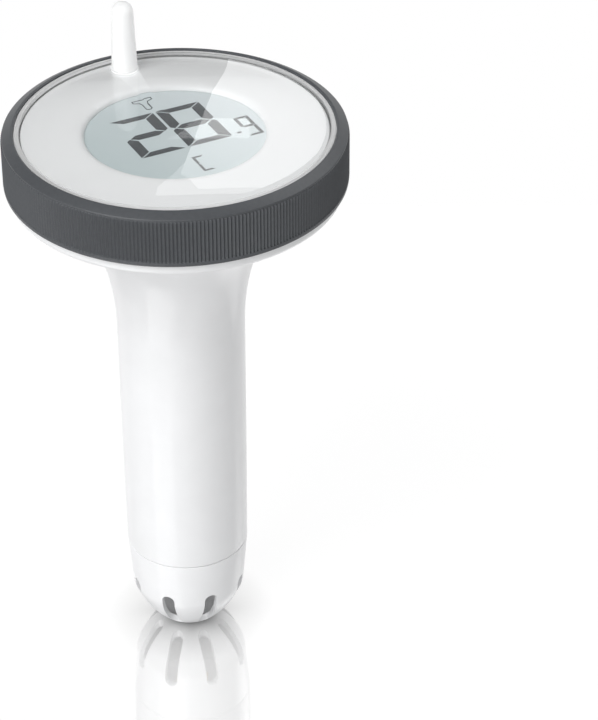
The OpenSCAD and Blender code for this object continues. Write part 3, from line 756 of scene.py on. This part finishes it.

# ---- Display glass, with painted shade ----

lcd, lcd_nodes = blank("lcd_glass")
lcd_link = links(lcd)
lcd_where = lcd_nodes.new("ShaderNodeTexCoord")
lcd_turn = lcd_nodes.new("ShaderNodeMapping")
lcd_turn.inputs["Location"].default_value = (0.5, 0.42, 0)
lcd_turn.inputs["Rotation"].default_value = (0, 0, math.radians(-20))
lcd_turn.inputs["Scale"].default_value = (18, 18, 18)
# Painted shade: a gradient in object coordinates makes the cell darker towards one side and lighter
# towards the other.
lcd_painted_shade = lcd_nodes.new("ShaderNodeTexGradient")
lcd_shade_ramp = lcd_nodes.new("ShaderNodeValToRGB")
lcd_shade_ramp.color_ramp.elements[0].color = (0.5, 0.58, 0.59, 1)
lcd_shade_ramp.color_ramp.elements[1].color = (0.64, 0.7, 0.72, 1)
lcd_surface = lcd_nodes.new("ShaderNodeBsdfPrincipled")
lcd_surface.inputs["Roughness"].default_value = 0.25
lcd_out = lcd_nodes.new("ShaderNodeOutputMaterial")
lcd_link(lcd_where.outputs["Object"], lcd_turn.inputs["Vector"])
lcd_link(lcd_turn.outputs["Vector"], lcd_painted_shade.inputs["Vector"])
lcd_link(lcd_painted_shade.outputs["Fac"], lcd_shade_ramp.inputs["Fac"])
lcd_link(lcd_shade_ramp.outputs["Color"], lcd_surface.inputs["Base Color"])
lcd_link(lcd_surface.outputs["BSDF"], lcd_out.inputs["Surface"])
wear(frame["nodes"]["lcd_cell"], lcd)

# ---- Sensor lead ----

ROUTE = [
    (0, 0, 15.5), (0, 0, 26.5), (0, 0, 38.5), (0, 0, 48.5), (0.5, 0, 54.5), (3, 1, 59.5), (5, 3, 64.5),
    (4.5, 5.5, 69.5), (1, 7, 73.5), (-3, 8, 77.5), (-4.5, 9, 82.5), (-3, 10.5, 87.5), (-1, 12, 92.5),
    (0, 12.6, 98.5), (0, 12.8, 108.5), (0, 12.8, 122.5), (0, 12.8, 136.5), (0, 12.8, 148.5),
    (0, 13.6, 154.5), (0, 15, 158.5), (0, 16, 162.5), (0, 16, 167.5),
]
LEAD_R, LEAD_SIDES = 0.75, 12


def through(points, steps):
    """Smooth points through the given ones."""
    made = []
    last = len(points) - 1
    for i in range(last):
        a, b, c, d = (Vector(points[min(max(k, 0), last)]) for k in (i - 1, i, i + 1, i + 2))
        once, twice, thrice = c - a, 2 * a - 5 * b + 4 * c - d, 3 * b - a - 3 * c + d
        for j in range(steps + (i == last - 1)):
            t = j / steps
            made.append(0.5 * (2 * b + once * t + twice * t**2 + thrice * t**3))
    return made


line = through(ROUTE, 4)
tube = []
for i, p in enumerate(line):
    along = (line[min(i + 1, len(line) - 1)] - line[max(i - 1, 0)]).normalized()
    u = Vector((1, 0.2, 0)).cross(along).normalized()
    v = along.cross(u)
    angles = [2 * math.pi * k / LEAD_SIDES for k in range(LEAD_SIDES)]
    tube.append([tuple(p + LEAD_R * (math.cos(a) * u + math.sin(a) * v)) for a in angles])
lead = strip("sensor_lead", tube)
wear(lead, finish_material("lead_grey", (0.35, 0.36, 0.37), 0.5))
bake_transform(lead)
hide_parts("sensor_leads")

# ---- Floor, light and camera ----


def one_sided(name, strength, to_matt=None, mirror=0.0, soft=0.5, diffuse=0.0, painted_shadow_reach=0.0):
    """A pale glowing surface, part mirror, that isn't seen from behind.

    to_matt is its glow on matt surfaces, where that differs from its strength. painted_shadow_reach is
    how far off, in metres, a piece near the foot dims its glow: a painted contact shadow round the
    foot.
    """
    material, nodes = blank(name)
    link = links(material)
    path = nodes.new("ShaderNodeLightPath")
    level = ranged(
        nodes,
        link,
        path.outputs["Is Diffuse Ray"],
        0.0,
        1.0,
        strength,
        strength if to_matt is None else to_matt,
    )
    # Painted contact shadow: near the foot, occlusion dims the floor's glow; farther off the glow stays
    # full.
    if painted_shadow_reach:
        contact_shade = nodes.new("ShaderNodeAmbientOcclusion")
        contact_shade.inputs["Distance"].default_value = painted_shadow_reach
        where = nodes.new("ShaderNodeTexCoord")
        away = nodes.new("ShaderNodeVectorMath")
        away.operation = "LENGTH"
        link(where.outputs["Object"], away.inputs[0])
        past_painted_shadow = ranged(nodes, link, away.outputs["Value"], 1.5 * painted_shadow_reach, 4 * painted_shadow_reach, 0.0, 1.0)
        unshaded_share = value_of(nodes, link, "MAXIMUM", contact_shade.outputs["AO"], past_painted_shadow)
        level = value_of(nodes, link, "MULTIPLY", level, unshaded_share)
    glow = nodes.new("ShaderNodeEmission")
    link(level, glow.inputs["Strength"])
    glow.inputs["Color"].default_value = (1, 1, 1, 1)
    matt = nodes.new("ShaderNodeBsdfDiffuse")
    matt.inputs["Color"].default_value = (diffuse, diffuse, diffuse, 1)
    body = nodes.new("ShaderNodeAddShader")
    gloss = nodes.new("ShaderNodeBsdfGlossy")
    gloss.inputs["Color"].default_value = (mirror, mirror, mirror, 1)
    gloss.inputs["Roughness"].default_value = soft
    both = nodes.new("ShaderNodeAddShader")
    clear = nodes.new("ShaderNodeBsdfTransparent")
    side = nodes.new("ShaderNodeNewGeometry")
    out = nodes.new("ShaderNodeOutputMaterial")
    link(glow.outputs["Emission"], body.inputs[0])
    link(matt.outputs["BSDF"], body.inputs[1])
    link(body.outputs["Shader"], both.inputs[0])
    link(gloss.outputs["BSDF"], both.inputs[1])
    surface = mixed(
        nodes, link, side.outputs["Backfacing"], both.outputs["Shader"], clear.outputs["BSDF"]
    )
    link(surface, out.inputs["Surface"])
    return material


def sheet(name, corners, material):
    mesh = bpy.data.meshes.new(name)
    mesh.from_pydata(corners, [], [list(range(len(corners)))])
    made = bpy.data.objects.new(name, mesh)
    bpy.context.scene.collection.objects.link(made)
    made.data.materials.append(material)
    return made


TURN = math.radians(27)
RIGHT = Vector((math.cos(TURN), -math.sin(TURN), 0))
AWAY = Vector((math.sin(TURN), math.cos(TURN), 0))
UP = Vector((0, 0, 1))


def seen(right, away, up):
    """A point given as the camera sees it: to the right, away and up from the foot, in metres."""
    return right * RIGHT + away * AWAY + up * UP


# The floor glows evenly, except for a painted contact shadow round the foot.
sheet(
    "floor",
    [seen(-3, -3, 0), seen(3, -3, 0), seen(3, 3, 0), seen(-3, 3, 0)],
    one_sided("floor_pale", 0.52, to_matt=0.36, mirror=0.4, soft=0.06, diffuse=0.1, painted_shadow_reach=0.015),
)
BACK_AWAY, BACK_TOP = 0.25, 0.278
sheet(
    "backdrop",
    [
        seen(-1.2, BACK_AWAY, 0),
        seen(1.2, BACK_AWAY, 0),
        seen(1.2, BACK_AWAY, BACK_TOP),
        seen(-1.2, BACK_AWAY, BACK_TOP),
    ],
    one_sided("backdrop_pale", 1.0),
)


HEAD = seen(0, 0, 0.1225)
LAMP_AWAY, LAMP_SIZE = 3.0, 1.8


def round_head(azimuth_deg, elevation_deg, distance):
    """A point round the head: azimuth 0 is the camera's side, and it grows to the right."""
    a, e = math.radians(azimuth_deg), math.radians(elevation_deg)
    return HEAD + distance * seen(
        math.sin(a) * math.cos(e), -math.cos(a) * math.cos(e), math.sin(e)
    )


def softbox(name, azimuth_deg, elevation_deg, power):
    """A square lamp that faces the head."""
    light = bpy.data.lights.new(name, "AREA")
    light.shape = "RECTANGLE"
    light.size, light.size_y = LAMP_SIZE, LAMP_SIZE
    light.energy = power
    lamp = bpy.data.objects.new(name, light)
    lamp.location = round_head(azimuth_deg, elevation_deg, LAMP_AWAY)
    lamp.rotation_euler = (HEAD - lamp.location).to_track_quat("-Z", "Y").to_euler()
    bpy.context.scene.collection.objects.link(lamp)


softbox("key_light", -40, 50, 66.0)
softbox("fill_light", -18, 15, 16.8)
softbox("right_light", 30, 15, 4.4)
softbox("rim_light", 130, 50, 24.0)

# Two glowing sheets that the right half of the lens mirrors to the camera
GLARE_AT = seen(-0.0381, 0.7761, 0.6243)
GLARE_OUT = seen(-0.0423, 0.8675, 0.4957).normalized()
GLARE_SIDE = GLARE_OUT.cross(UP).normalized()
GLARE_RISE = GLARE_SIDE.cross(GLARE_OUT)


def glare(name, outline, strength):
    """A glowing sheet, from its corners to the side and up, clockwise as the lens sees them."""
    corners = [GLARE_AT + x * GLARE_SIDE + y * GLARE_RISE for x, y in outline]
    made = sheet(name, corners[::-1], one_sided(name + "_glow", strength))
    made.visible_diffuse = False
    return made


glare(
    "glare_bright",
    [
        (0.0364, -0.055), (0.0331, -0.044), (0.025, -0.030), (0.0035, 0.0305),
        (0.0098, 0.0355), (0.014, 0.042), (0.125, 0.042), (0.125, -0.055),
    ],
    3.4,
)
glare(
    "glare_dim",
    [
        (0.0065, 0.022), (-0.0014, 0.0307), (-0.0111, 0.0393), (-0.0125, 0.046),
        (0.125, 0.046), (0.125, 0.0421), (0.0139, 0.0421), (0.0097, 0.0356), (0.0034, 0.0306),
    ],
    1.85,
)

SKY, SKY_THROUGH_LENS = 0.2, 0.85
world = bpy.data.worlds.new("studio")
world.use_nodes = True
sky = world.node_tree.nodes["Background"]
sky.inputs["Color"].default_value = (1, 1, 1, 1)
sky_path = world.node_tree.nodes.new("ShaderNodeLightPath")
sky_level = ranged(
    world.node_tree.nodes,
    world.node_tree.links.new,
    sky_path.outputs["Is Transmission Ray"],
    0.0,
    1.0,
    SKY,
    SKY_THROUGH_LENS,
)
world.node_tree.links.new(sky_level, sky.inputs["Strength"])
bpy.context.scene.world = world

EYE = Vector((-0.3048, -0.6763, 0.5988))
PITCH, ROLL = math.radians(34.13), math.radians(0.25)
camera_data = bpy.data.cameras.new("camera")
camera_data.lens = 147.3
camera_data.sensor_width = 36
camera_data.clip_start, camera_data.clip_end = 0.01, 20
camera = bpy.data.objects.new("camera", camera_data)
camera.location = EYE
look = AWAY * math.cos(PITCH) - UP * math.sin(PITCH)
camera.rotation_euler = (look.to_track_quat("-Z", "Y") @ Quaternion((0, 0, 1), -ROLL)).to_euler()
bpy.context.scene.collection.objects.link(camera)
bpy.context.scene.camera = camera
bpy.context.scene.view_settings.view_transform = "Standard"
